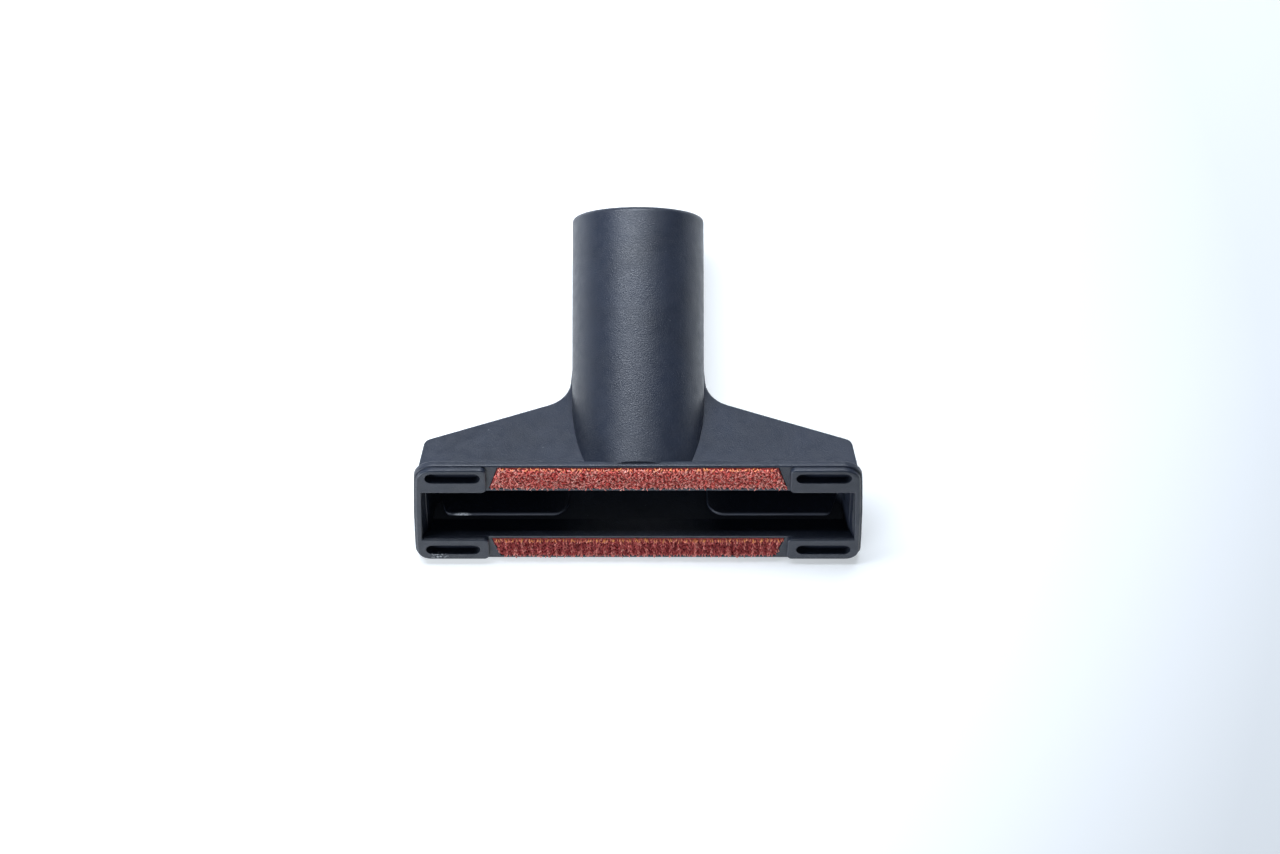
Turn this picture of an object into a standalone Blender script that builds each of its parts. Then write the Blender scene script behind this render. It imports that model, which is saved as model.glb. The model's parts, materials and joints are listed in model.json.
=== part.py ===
"""Upholstery nozzle for a vacuum cleaner, with two lint strips.

The nozzle is one hollow moulding: a round connection tube and a wide box-like head that stands on it at
an angle. The head ends in a flat sole with a wide mouth between two lips. Each lip carries a strip of
pile, and the sole's four corners are raised pads with an obround pocket in each.

The nozzle lies on its back. X runs across the mouth, +Y runs along the tube to its open end and +Z is up.
The sole has axes of its own: x across the mouth, y up the sole from its back edge to its front edge, and
z out of the mouth. Depth is measured into the head, against the sole's z.
"""

import math

import bmesh
import bpy
import numpy as np
from mathutils import Matrix, Vector

MM = 0.001

# Connection tube
TUBE_OUTER = 38.6
TUBE_WALL = 1.8
TUBE_REACH = 98.4
TUBE_END_ROUNDING = 1.2
TUBE_SIDES = 96

# Sole, the flat frame round the mouth
SOLE_TILT = 31.0
SOLE_WIDTH_BACK = 131.4
SOLE_WIDTH_FRONT = 128.8
SOLE_HEIGHT = 43.5
SOLE_THICKNESS = 2.0
SOLE_SIDE_BOW = 0.5
SOLE_BACK_CORNER_RADIUS = 4.5
SOLE_FRONT_CORNER_RADIUS = 5.8
SOLE_EDGE_RADIUS = 0.5
BACK_LIP = 10.6
FRONT_LIP = 11.3
SIDE_RIM = 2.2

# Head, the hollow box behind the sole
HEAD_WALL = 2.0
HEAD_FRONT_RECESS = 5.1
HEAD_BACK_RECESS = 5.2
HEAD_SIDE_RECESS = 1.45
HEAD_SIDE_TAPER = 2.2
HEAD_DEPTH_AT_ENDS = 14.0
HEAD_DEPTH_AT_TUBE = 29.9
HEAD_CORNER_RADIUS = 2.8
HEAD_EDGE_RADIUS = 0.8
SHOULDER_FILLET = 9.8
SHOULDER_FLARE = 0.95
NECK_LENGTH = 26.0
TABLE_RELIEF = 0.4

# Raised corner pads and their pockets
PAD_HEIGHT = 1.3
PAD_BAY = 87.8
PAD_EDGE_RADIUS = 0.5
PAD_CORNER_RADIUS = 1.6
PAD_SETBACK = 0.2
PAD_BACK_INSET = 0.9
PAD_FRONT_INSET = 0.6
PAD_SIDE_INSET = 0.6
POCKET_LENGTH = 16.0
POCKET_WIDTH = 4.3
POCKET_DEPTH = 2.2
POCKET_SIDE_MARGIN = 3.0
POCKET_FRONT_MARGIN = 2.2
POCKET_BACK_MARGIN = 3.4

# Guard ribs inside the wings
RIB_HEIGHT_ON_SOLE = 16.2
RIB_THICKNESS = 1.3
RIB_SETBACK = 3.6
RIB_INNER = 20.2
RIB_OUTER = 56.2
RIB_OUTER_TAPER = 0.3
RIB_INNER_RADIUS = 5.0
RIB_OUTER_RADIUS = 1.8
RIB_EDGE_RADIUS = 0.4

# Lint strips and their seats
STRIP_SEAT_DEPTH = 1.1
STRIP_PROUD = 0.2
STRIP_CLEARANCE = 0.3
STRIP_LONG_SIDE = 86.4
STRIP_SHORT_SIDE = 81.2
STRIP_MARGIN_INSIDE = 0.9
STRIP_MARGIN_FRONT = 0.75
STRIP_MARGIN_BACK = 1.2
STRIP_EDGE_RADIUS = 0.25

# How far joined shapes run into each other, and how far cutters run past what they cut
OVERLAP = 0.8
PASS = 5.0

# How finely the round stretches are divided, and the angle above which an edge is shaded sharp
ARC_STEP = math.radians(11.25)
EDGE_STEPS = 4
NECK_STEPS = 6
CORNER_STEPS = 8
SHARP_ANGLE = math.radians(28)

# Sizes that follow from the ones above
TUBE_RADIUS = TUBE_OUTER / 2
BORE_RADIUS = TUBE_RADIUS - TUBE_WALL
MOUTH_LOW = BACK_LIP
MOUTH_HIGH = SOLE_HEIGHT - FRONT_LIP
HEAD_LOW = HEAD_BACK_RECESS
HEAD_HIGH = SOLE_HEIGHT - HEAD_FRONT_RECESS
SHOULDER_SLOPE = ((HEAD_DEPTH_AT_TUBE - HEAD_DEPTH_AT_ENDS)
                  / (SOLE_WIDTH_BACK / 2 - HEAD_SIDE_RECESS - HEAD_SIDE_TAPER - TUBE_RADIUS))
TILT = math.radians(SOLE_TILT)
BACK_EDGE_LIFT = ((SOLE_THICKNESS - SOLE_EDGE_RADIUS) * math.sin(TILT)
                  - SOLE_EDGE_RADIUS * (math.cos(TILT) - 1))
FOREMOST = PAD_HEIGHT * math.cos(TILT) - PAD_BACK_INSET * math.sin(TILT)
BACK_EDGE_Y = FOREMOST - (TUBE_REACH + FOREMOST) / 2
BOW_RADIUS = SOLE_HEIGHT ** 2 / (8 * SOLE_SIDE_BOW)
NECK_ROOM = (((HEAD_HIGH - 2 * HEAD_EDGE_RADIUS) * math.cos(TILT) + BACK_EDGE_LIFT - TUBE_WALL / 2)
             / math.sin(TILT))
NECK_END = min(HEAD_DEPTH_AT_TUBE + NECK_LENGTH, NECK_ROOM)
NECK_END_WIDTH = TUBE_RADIUS - TUBE_WALL / 2


def clear_scene():
    """Removes whatever objects the file holds."""
    for item in list(bpy.data.objects):
        bpy.data.objects.remove(item, do_unlink=True)


def sole_axes():
    """Returns the matrix from the sole's axes to the world's, with lengths in millimetres."""
    turn = Matrix.Rotation(math.pi / 2 - TILT, 4, "X")
    return Matrix.Translation((0, BACK_EDGE_Y, BACK_EDGE_LIFT)) @ turn


def new_solid(name, bm, place=None):
    """Puts a mesh that is drawn in millimetres into an object, placed by a matrix and sized in metres."""
    bm.transform(Matrix.Scale(MM, 4) @ (place or Matrix.Identity(4)))
    bmesh.ops.recalc_face_normals(bm, faces=bm.faces[:])
    mesh = bpy.data.meshes.new(name)
    bm.to_mesh(mesh)
    bm.free()
    item = bpy.data.objects.new(name, mesh)
    bpy.context.collection.objects.link(item)
    return item


def new_tool(name, bm, place=None):
    """Makes a solid that only joins or cuts another one and isn't part of the model."""
    item = new_solid(name, bm, place)
    item.hide_render = True
    item.display_type = "WIRE"
    return item


def rounded(corners):
    """Turns corners, each (x, y, radius), into an outline with round corners of even steps."""
    outline = []
    for i, (x, y, radius) in enumerate(corners):
        here = Vector((x, y))
        if radius == 0:
            outline.append(here)
            continue
        back = (Vector(corners[i - 1][:2]) - here).normalized()
        ahead = (Vector(corners[(i + 1) % len(corners)][:2]) - here).normalized()
        half = back.angle(ahead) / 2
        turn = math.pi - 2 * half
        centre = here + (back + ahead).normalized() * radius / math.sin(half)
        start = here + back * radius / math.tan(half) - centre
        side = 1 if back.cross(ahead) < 0 else -1
        steps = max(2, round(turn / ARC_STEP))
        for k in range(steps + 1):
            angle = side * turn * k / steps
            outline.append(centre + Matrix.Rotation(angle, 2) @ start)
    return outline


def obround(low, high, middle, half):
    """An outline with two round ends, from low to high in x and one half-width either side of a middle."""
    steps = round(math.pi / ARC_STEP)
    outline = []
    for x, start in ((high - half, -math.pi / 2), (low + half, math.pi / 2)):
        for k in range(steps + 1):
            angle = start + math.pi * k / steps
            outline.append(Vector((x + half * math.cos(angle), middle + half * math.sin(angle))))
    return outline


def mirrored(half):
    """Closes a list of corners on the right into a symmetric one, from the right round to the left."""
    return half + [(-x, y, radius) for x, y, radius in reversed(half)]


def prism(outline, low, high, across="z"):
    """Makes a closed prism: the outline in x and y raised along z, or in x and depth raised along y."""
    bm = bmesh.new()
    if across == "z":
        loops = [[bm.verts.new((x, y, level)) for x, y in outline] for level in (low, high)]
    else:
        loops = [[bm.verts.new((x, level, -depth)) for x, depth in outline] for level in (low, high)]
    bm.faces.new(loops[0])
    bm.faces.new(loops[1])
    for i in range(len(outline)):
        j = (i + 1) % len(outline)
        bm.faces.new((loops[0][i], loops[0][j], loops[1][j], loops[1][i]))
    bmesh.ops.recalc_face_normals(bm, faces=bm.faces[:])
    return bm


def keep_side(bm, point, normal):
    """Cuts a closed mesh with a plane, keeps the side that the normal points to and closes the cut."""
    everything = bm.verts[:] + bm.edges[:] + bm.faces[:]
    cut = bmesh.ops.bisect_plane(bm, geom=everything, plane_co=point, plane_no=normal, clear_inner=True)
    edges = [item for item in cut["geom_cut"] if isinstance(item, bmesh.types.BMEdge)]
    bmesh.ops.contextual_create(bm, geom=edges)
    bmesh.ops.recalc_face_normals(bm, faces=bm.faces[:])


def round_edges(bm, radius, chosen=lambda edge: True, sharper=30.0):
    """Rounds the edges that are sharper than an angle and that the test picks."""
    limit = math.radians(sharper)
    edges = [e for e in bm.edges if len(e.link_faces) == 2 and e.calc_face_angle() > limit and chosen(e)]
    bmesh.ops.bevel(bm, geom=edges, offset=radius, segments=EDGE_STEPS, profile=0.5, affect="EDGES")


def join_or_cut(body, tool, operation):
    """Adds an exact Boolean with one tool to the body."""
    step = body.modifiers.new(tool.name, "BOOLEAN")
    step.operation = operation
    step.solver = "EXACT"
    step.object = tool


def settle(item, tools):
    """Turns an object's modifiers into its mesh, removes its tools and shades the round faces smooth."""
    graph = bpy.context.evaluated_depsgraph_get()
    mesh = bpy.data.meshes.new_from_object(item.evaluated_get(graph))
    item.modifiers.clear()
    item.data = mesh
    mesh.name = item.name
    for tool in tools:
        bpy.data.objects.remove(tool, do_unlink=True)
    mesh.shade_smooth()
    mesh.set_sharp_from_angle(angle=SHARP_ANGLE)


def sole_outline():
    """The sole's outline: round corners, slightly bowed sides and a front edge narrower than the back."""
    return rounded(mirrored([
        (SOLE_WIDTH_BACK / 2, 0, SOLE_BACK_CORNER_RADIUS),
        bow_corner(0),
        (SOLE_WIDTH_FRONT / 2, SOLE_HEIGHT, SOLE_FRONT_CORNER_RADIUS),
    ]))


def bow_corner(inset):
    """The blunt corner halfway up a side that bows it outwards, at an inset from the sole's edge."""
    middle = SOLE_HEIGHT / 2
    return sole_side(middle) + SOLE_SIDE_BOW - inset, middle, BOW_RADIUS


def sole_side(height):
    """Half the sole's width at a height up the sole."""
    share = height / SOLE_HEIGHT
    return ((1 - share) * SOLE_WIDTH_BACK + share * SOLE_WIDTH_FRONT) / 2


def make_sole(axes):
    """The flat frame, without its mouth."""
    bm = prism(sole_outline(), -SOLE_THICKNESS, 0)
    round_edges(bm, SOLE_EDGE_RADIUS)
    return new_solid("nozzle_body", bm, axes)


def head_side(depth):
    """Half the head's width at a depth: its ends lean inwards from the sole to the shoulders."""
    lean = HEAD_SIDE_TAPER * depth / HEAD_DEPTH_AT_ENDS
    return SOLE_WIDTH_BACK / 2 - HEAD_SIDE_RECESS - lean


def shoulder_depth(x):
    """Depth of the head's roof at a distance from the middle: two straight shoulders down from the tube."""
    return HEAD_DEPTH_AT_TUBE - SHOULDER_SLOPE * (abs(x) - TUBE_RADIUS)


def head_profile():
    """Half the head's width against its depth: leaning ends, sloping shoulders, and a fillet into the neck."""
    end = head_side(HEAD_DEPTH_AT_ENDS)
    start = SOLE_THICKNESS - OVERLAP
    foot = TUBE_RADIUS + SHOULDER_FLARE
    return rounded([
        (head_side(start), start, 0),
        (end, shoulder_depth(end), HEAD_CORNER_RADIUS),
        (foot, shoulder_depth(foot), SHOULDER_FILLET),
        (NECK_END_WIDTH, NECK_END, 0),
    ])


def cavity_outline():
    """The head's hollow seen along the sole: the outline's ends and shoulders, one wall inwards."""
    roof_wall = HEAD_WALL * math.hypot(1, SHOULDER_SLOPE)
    end = head_side(HEAD_DEPTH_AT_ENDS) - HEAD_WALL
    start = SOLE_THICKNESS
    return rounded(mirrored([
        (head_side(start) - HEAD_WALL, start, 0),
        (end, shoulder_depth(end) - roof_wall, HEAD_CORNER_RADIUS),
        (BORE_RADIUS, shoulder_depth(BORE_RADIUS) - roof_wall, 0),
    ]))


def height_on_sole(level, depth):
    """How far up the sole a point lies that is at a level over the table and at a depth behind the sole."""
    return (level - BACK_EDGE_LIFT + depth * math.sin(TILT)) / math.cos(TILT)


def above_table(height):
    """A point and a normal, in the sole's axes, of the level plane at a height over the table."""
    inverse = sole_axes().inverted()
    return inverse @ Vector((0, 0, height)), inverse.to_3x3() @ Vector((0, 0, 1))


def head_section(half_width, depth, lean, neck):
    """One ring of the head, half by half. Its back corners grow into the tube's own round along the neck.

    The front stays flat with a small edge rounding. The back follows the sole, or the table where the head
    would reach below it. The edges are rounded square to the head's outline, whose normal leans towards the
    tube by an angle. neck runs from 0 at the shoulders to 1 where the head has gone into the tube.
    """
    radius = HEAD_EDGE_RADIUS
    level = TABLE_RELIEF + neck * (TUBE_WALL / 2 - TABLE_RELIEF)
    low = max(HEAD_LOW, height_on_sole(level, depth))
    wider = neck * (half_width - 2 * radius)
    tall = radius + neck * (height_on_sole(TUBE_RADIUS, depth) - low - radius)
    front = HEAD_HIGH - radius
    first = math.asin(max(0.0, (low + tall - front + radius / 2) / tall))
    narrowing = wider * (1 - math.cos(first))
    half = []
    for k in range(EDGE_STEPS + 1):
        angle = math.pi / 2 * (1 - k / EDGE_STEPS)
        inset = radius * (1 - math.cos(angle))
        half.append((half_width - narrowing - inset * math.cos(lean), front + radius * math.sin(angle),
                     inset * math.sin(lean) - depth))
    for k in range(CORNER_STEPS + 1):
        angle = first + (math.pi / 2 - first) * k / CORNER_STEPS
        inset = radius * (1 - math.cos(angle))
        half.append((half_width - wider * (1 - math.cos(angle)) - inset * math.cos(lean),
                     low + tall * (1 - math.sin(angle)), inset * math.sin(lean) - depth))
    return half + [(-x, y, z) for x, y, z in reversed(half)]


def loft(rings):
    """Makes a closed mesh through rings of points, with the same number of points in each."""
    bm = bmesh.new()
    loops = [[bm.verts.new(point) for point in ring] for ring in rings]
    bm.faces.new(loops[0])
    bm.faces.new(loops[-1])
    for low, high in zip(loops, loops[1:]):
        for i in range(len(low)):
            j = (i + 1) % len(low)
            bm.faces.new((low[i], low[j], high[j], high[i]))
    bmesh.ops.recalc_face_normals(bm, faces=bm.faces[:])
    return bm


def make_head(axes):
    """The box behind the sole, lofted from the sole over the shoulders and along the neck into the tube.

    The neck ends inside the tube's wall, at the latest where the head's front comes down to that wall.
    """
    profile = head_profile()
    kink = (BACK_EDGE_LIFT + HEAD_LOW * math.cos(TILT) - TABLE_RELIEF) / math.sin(TILT)
    neck_start = profile[-2].y
    extra = [kink] + [neck_start + (NECK_END - neck_start) * k / NECK_STEPS for k in range(1, NECK_STEPS)]
    depths = np.array(sorted([point.y for point in profile] + extra))
    halves = np.interp(depths, [point.y for point in profile], [point.x for point in profile])
    leans = np.arctan2(-np.gradient(halves), np.gradient(depths))
    leans[[0, -1]] = 0
    rings = []
    for half_width, depth, lean in zip(halves.tolist(), depths.tolist(), leans.tolist()):
        share = max(0.0, (depth - HEAD_DEPTH_AT_TUBE) / (NECK_END - HEAD_DEPTH_AT_TUBE))
        rings.append(head_section(half_width, depth, lean, share * share * (3 - 2 * share)))
    return new_tool("head", loft(rings), axes)


def make_cavity(axes):
    """The hollow of the head, which keeps one wall to the front, the back and the table."""
    bm = prism(cavity_outline(), HEAD_LOW + HEAD_WALL, HEAD_HIGH - HEAD_WALL, across="y")
    keep_side(bm, *above_table(TABLE_RELIEF + HEAD_WALL))
    return new_tool("cavity", bm, axes)


def make_mouth(axes):
    """The opening in the sole, whose ends lean in to meet the head's ends."""
    outline = [(side * (sole_side(height) - SIDE_RIM), height)
               for side, height in ((1, MOUTH_LOW), (1, MOUTH_HIGH), (-1, MOUTH_HIGH), (-1, MOUTH_LOW))]
    bm = prism(outline, -SOLE_THICKNESS - OVERLAP, PASS)
    deep = head_side(SOLE_THICKNESS) - HEAD_WALL
    for vert in bm.verts:
        if vert.co.z < 0:
            vert.co.x = math.copysign(deep, vert.co.x)
        else:
            vert.co.x += math.copysign((abs(vert.co.x) - deep) * PASS / (SOLE_THICKNESS + OVERLAP), vert.co.x)
    return new_tool("mouth", bm, axes)


def round_bar(radius, start, end):
    """A closed cylinder on the tube's axis, in world axes."""
    bm = bmesh.new()
    turn = Matrix.Rotation(-math.pi / 2, 4, "X")
    middle = Matrix.Translation((0, (start + end) / 2, TUBE_RADIUS))
    bmesh.ops.create_cone(bm, cap_ends=True, segments=TUBE_SIDES, radius1=radius, radius2=radius,
                          depth=end - start, matrix=middle @ turn)
    return bm


def behind_sole(bm, axes, clear):
    """Ends a bar on the tube's axis behind the sole, at a clearance.

    The first cut runs parallel to the sole, half its thickness in. The second one slants from the mouth's
    front edge down to where the head's back would meet the table.
    """
    keep_side(bm, axes @ Vector((0, 0, -SOLE_THICKNESS / 2 - clear)), axes.to_3x3() @ Vector((0, 0, -1)))
    foot = Vector((0, HEAD_LOW, -(BACK_EDGE_LIFT + HEAD_LOW * math.cos(TILT)) / math.sin(TILT) - clear))
    top = Vector((0, MOUTH_HIGH, -clear))
    normal = Vector((1, 0, 0)).cross(top - foot).normalized()
    keep_side(bm, axes @ top, axes.to_3x3() @ normal * math.copysign(1, -normal.z))


def make_tube(axes):
    """The tube from its open end into the head. Its front runs on over the head to the sole's front edge."""
    end = BACK_EDGE_Y + TUBE_REACH
    bm = round_bar(TUBE_RADIUS, BACK_EDGE_Y - PASS, end)
    round_edges(bm, TUBE_END_ROUNDING, lambda e: min(v.co.y for v in e.verts) > end - OVERLAP)
    behind_sole(bm, axes, 0)
    return new_tool("tube", bm)


def make_bore(axes):
    """The tube's bore, which opens into the cavity and ends one wall behind the sole."""
    bm = round_bar(BORE_RADIUS, BACK_EDGE_Y - PASS, BACK_EDGE_Y + TUBE_REACH + PASS)
    behind_sole(bm, axes, HEAD_WALL)
    return new_tool("bore", bm)


def make_end_pads(side, axes):
    """The two raised corner pads of one end, joined by a narrow ridge along the sole's side rim."""
    front = SOLE_HEIGHT - PAD_FRONT_INSET
    back = PAD_BACK_INSET
    inner = PAD_BAY / 2
    high = MOUTH_HIGH + PAD_SETBACK
    low = MOUTH_LOW - PAD_SETBACK
    ridge = SIDE_RIM - PAD_SETBACK
    corners = [(inner, back, PAD_CORNER_RADIUS), (inner, low, PAD_CORNER_RADIUS),
               (sole_side(low) - ridge, low, 0), (sole_side(high) - ridge, high, 0),
               (inner, high, PAD_CORNER_RADIUS), (inner, front, PAD_CORNER_RADIUS),
               (sole_side(front) - PAD_SIDE_INSET, front, SOLE_FRONT_CORNER_RADIUS - PAD_SIDE_INSET),
               bow_corner(PAD_SIDE_INSET),
               (sole_side(back) - PAD_SIDE_INSET, back, SOLE_BACK_CORNER_RADIUS - PAD_SIDE_INSET)]
    bm = prism(rounded([(side * x, y, r) for x, y, r in corners]), -OVERLAP, PAD_HEIGHT)
    round_edges(bm, PAD_EDGE_RADIUS, lambda e: all(v.co.z > 0 for v in e.verts))
    return new_tool(f"end_pads_{'right' if side > 0 else 'left'}", bm, axes)


def make_pocket(side, front, axes):
    """The obround pocket in a corner pad."""
    half = POCKET_WIDTH / 2
    if front:
        middle = SOLE_HEIGHT - POCKET_FRONT_MARGIN - half
    else:
        middle = POCKET_BACK_MARGIN + half
    outer = sole_side(middle) - POCKET_SIDE_MARGIN
    ends = sorted((side * (outer - POCKET_LENGTH), side * outer))
    bm = prism(obround(*ends, middle, half), PAD_HEIGHT - POCKET_DEPTH, PAD_HEIGHT + PASS)
    place = "front" if front else "back"
    return new_tool(f"{place}_pocket_{'right' if side > 0 else 'left'}", bm, axes)


def make_rib(side, axes):
    """A guard rib: a thin plate that stands on the roof of a wing and ends just behind the mouth."""
    root = HEAD_WALL / 2
    outer_root = RIB_OUTER + RIB_OUTER_TAPER * (HEAD_DEPTH_AT_ENDS - RIB_SETBACK)
    corners = [(RIB_INNER, shoulder_depth(RIB_INNER) - root, 0), (RIB_INNER, RIB_SETBACK, RIB_INNER_RADIUS),
               (RIB_OUTER, RIB_SETBACK, RIB_OUTER_RADIUS), (outer_root, shoulder_depth(outer_root) - root, 0)]
    half = RIB_THICKNESS / 2
    bm = prism(rounded([(side * x, depth, r) for x, depth, r in corners]),
               RIB_HEIGHT_ON_SOLE - half, RIB_HEIGHT_ON_SOLE + half, across="y")
    round_edges(bm, RIB_EDGE_RADIUS)
    keep_side(bm, *above_table(TABLE_RELIEF + root))
    return new_tool(f"guard_rib_{'right' if side > 0 else 'left'}", bm, axes)


def strip_span(front):
    """Where a lint strip's seat starts and ends up the sole."""
    if front:
        return MOUTH_HIGH + STRIP_MARGIN_INSIDE, SOLE_HEIGHT - STRIP_MARGIN_FRONT
    return STRIP_MARGIN_BACK, MOUTH_LOW - STRIP_MARGIN_INSIDE


def strip_outline(front, grow=0.0):
    """The trapezoid of a lint strip, with its long side towards the mouth, grown by a clearance."""
    low, high = strip_span(front)
    low_half, high_half = (STRIP_LONG_SIDE / 2, STRIP_SHORT_SIDE / 2)
    if not front:
        low_half, high_half = high_half, low_half
    return [(low_half + grow, low - grow), (high_half + grow, high + grow),
            (-high_half - grow, high + grow), (-low_half - grow, low - grow)]


def make_strip_seat(front, axes):
    """The shallow seat in a lip that a lint strip is stuck into."""
    bm = prism(strip_outline(front), -STRIP_SEAT_DEPTH, PASS)
    return new_tool("front_seat" if front else "back_seat", bm, axes)


def make_strip(front, axes):
    """A lint strip: a trapezoid of pile on a backing, clear of its seat all round."""
    bottom = -STRIP_SEAT_DEPTH + STRIP_CLEARANCE
    bm = prism(strip_outline(front, -STRIP_CLEARANCE), bottom, STRIP_PROUD)
    round_edges(bm, STRIP_EDGE_RADIUS, lambda e: all(v.co.z > 0 for v in e.verts))
    item = new_solid("front_lint_strip" if front else "back_lint_strip", bm, axes)
    item.data.shade_smooth()
    item.data.set_sharp_from_angle(angle=SHARP_ANGLE)
    return item


def make_body(axes):
    """The whole moulding: sole, head and tube joined, hollowed, and given its pads, ribs and seats."""
    body = make_sole(axes)
    corners = [(side, front) for side in (-1, 1) for front in (True, False)]
    steps = [(make_head(axes), "UNION"), (make_tube(axes), "UNION")]
    steps += [(make_cavity(axes), "DIFFERENCE"), (make_mouth(axes), "DIFFERENCE")]
    steps += [(make_bore(axes), "DIFFERENCE")]
    steps += [(make_rib(side, axes), "UNION") for side in (-1, 1)]
    steps += [(make_end_pads(side, axes), "UNION") for side in (-1, 1)]
    steps += [(make_pocket(side, front, axes), "DIFFERENCE") for side, front in corners]
    steps += [(make_strip_seat(front, axes), "DIFFERENCE") for front in (True, False)]
    for tool, operation in steps:
        join_or_cut(body, tool, operation)
    settle(body, [tool for tool, operation in steps])
    return body


def finish(item, name, colour, roughness):
    """Gives an object its own plain material."""
    material = bpy.data.materials.new(name)
    material.use_nodes = True
    shader = material.node_tree.nodes["Principled BSDF"]
    shader.inputs["Base Color"].default_value = (*colour, 1.0)
    shader.inputs["Roughness"].default_value = roughness
    shader.inputs["Metallic"].default_value = 0.0
    item.data.materials.clear()
    item.data.materials.append(material)


def main():
    clear_scene()
    axes = sole_axes()
    finish(make_body(axes), "charcoal_plastic", (0.032, 0.035, 0.041), 0.55)
    finish(make_strip(True, axes), "front_pile", (0.36, 0.085, 0.06), 0.95)
    finish(make_strip(False, axes), "back_pile", (0.30, 0.07, 0.055), 0.95)


main()
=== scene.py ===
"""Looks of the upholstery nozzle: a grained charcoal moulding with two lint strips on its lips.

Everything is in metres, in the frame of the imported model. The nozzle lies on its back, X runs across
the mouth, +Y along the tube to its open end and +Z up. The strips are laid out in the sole's own axes:
x across the mouth, t up the sole from its back edge to its front edge, and w out of the mouth.
"""
import json
import logging
import math
from dataclasses import dataclass, field
from enum import Enum

import bmesh
import bpy
import numpy as np
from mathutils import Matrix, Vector


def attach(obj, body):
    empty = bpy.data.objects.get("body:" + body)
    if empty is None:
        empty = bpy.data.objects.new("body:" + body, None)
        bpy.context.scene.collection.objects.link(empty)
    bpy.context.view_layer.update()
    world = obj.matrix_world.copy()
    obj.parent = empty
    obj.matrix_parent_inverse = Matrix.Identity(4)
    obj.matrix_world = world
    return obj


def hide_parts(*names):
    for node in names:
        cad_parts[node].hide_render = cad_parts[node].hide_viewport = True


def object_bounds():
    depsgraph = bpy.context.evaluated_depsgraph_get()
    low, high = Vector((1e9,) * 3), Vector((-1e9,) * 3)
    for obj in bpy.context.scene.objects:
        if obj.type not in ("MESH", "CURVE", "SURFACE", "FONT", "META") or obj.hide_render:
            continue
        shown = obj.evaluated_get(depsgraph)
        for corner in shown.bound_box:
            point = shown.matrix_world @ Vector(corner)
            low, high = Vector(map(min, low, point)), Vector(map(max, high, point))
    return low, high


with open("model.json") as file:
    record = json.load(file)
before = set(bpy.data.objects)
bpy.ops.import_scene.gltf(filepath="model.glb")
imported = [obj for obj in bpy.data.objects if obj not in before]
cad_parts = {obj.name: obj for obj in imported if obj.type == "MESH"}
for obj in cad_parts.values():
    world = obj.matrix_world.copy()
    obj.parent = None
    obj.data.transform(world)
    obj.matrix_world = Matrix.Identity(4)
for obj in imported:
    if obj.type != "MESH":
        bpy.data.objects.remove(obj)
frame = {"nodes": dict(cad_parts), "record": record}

CAD_BOX = [list(corner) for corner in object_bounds()]
LOG = logging.getLogger("nozzle")
MM = 0.001
BODY = "root"

# Smallest length that a vector is divided by.
TINY = 1e-30
# The range that holds most values of a noise texture.
NOISE_RANGE = (0.30, 0.70)
# Shortest and longest wave of a ripple, as shares of its mean wavelength.
RIPPLE_WAVES = (0.6, 1.7)
# The usual peak of a ripple's sum before it is scaled to about 1.
RIPPLE_PEAK = 1.6
# A direction that no fibre runs along, from which its rings are laid out.
ASIDE = np.array([1.0, 0.3, 0.0])
# The radius of a fibre's end as a share of the radius at its root.
TIP_SHARE = 0.6
# The triangles of a fibre with three rings of three corners: three sides in two steps, and two ends.
FIBRE_TRIANGLES = np.array([
    [0, 1, 4], [0, 4, 3], [1, 2, 5], [1, 5, 4], [2, 0, 3], [2, 3, 5],
    [3, 4, 7], [3, 7, 6], [4, 5, 8], [4, 8, 7], [5, 3, 6], [5, 6, 8],
    [6, 7, 8], [0, 2, 1],
])

Rgb = tuple[float, float, float]
Place = tuple[float, float, float]
Span = tuple[float, float]


class Lip(Enum):
    """The two lips of the mouth. The value is the start of the strip's node name and of its slot."""

    FRONT = "front"
    BACK = "back"


def mesh_object(name: str, points: np.ndarray, faces: np.ndarray) -> bpy.types.Object:
    """Makes an object from arrays.

    Args:
        name: Name of the object and its mesh.
        points: Corner positions, one row each, in metres.
        faces: Corner numbers of each face, one row each, all of the same length.

    Returns:
        The new object, linked to the scene, with its place in its mesh.
    """
    mesh = bpy.data.meshes.new(name)
    mesh.from_pydata(points, [], faces)
    mesh.validate()
    mesh.update()
    item = bpy.data.objects.new(name, mesh)
    bpy.context.scene.collection.objects.link(item)
    return item


def scaled(colour: Rgb, share: float) -> Rgb:
    """Makes a colour darker or lighter by a share."""
    return tuple(share * part for part in colour)


def grid_faces(rows: int, columns: int, start: int = 0) -> np.ndarray:
    """Quads of a grid of points that is numbered row by row.

    Args:
        rows: Number of rows of points.
        columns: Number of points in a row.
        start: Number of the grid's first point.

    Returns:
        One row of four corner numbers for each quad.
    """
    corner = np.arange(rows * columns).reshape(rows, columns)[:-1, :-1].ravel() + start
    return np.stack([corner, corner + 1, corner + columns + 1, corner + columns], axis=1)


def closed_slab(top: np.ndarray, bottom: np.ndarray) -> tuple[np.ndarray, np.ndarray]:
    """Closes two grids of the same size into one solid by a wall round their edges.

    Args:
        top: Points of the upper grid, (rows, columns, 3), rows along the second axis of the strip.
        bottom: Points of the lower grid, of the same shape.

    Returns:
        The points and the quads, facing out when the rows turn left from the columns.
    """
    rows, columns = top.shape[:2]
    count = rows * columns
    number = np.arange(count).reshape(rows, columns)
    rim = np.concatenate([number[0, :], number[1:, -1], number[-1, -2::-1], number[-2:0:-1, 0]])
    after = np.roll(rim, -1)
    wall = np.stack([rim + count, after + count, after, rim], axis=1)
    faces = np.concatenate([grid_faces(rows, columns), grid_faces(rows, columns, count)[:, ::-1], wall])
    return np.concatenate([top.reshape(-1, 3), bottom.reshape(-1, 3)]), faces


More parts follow.
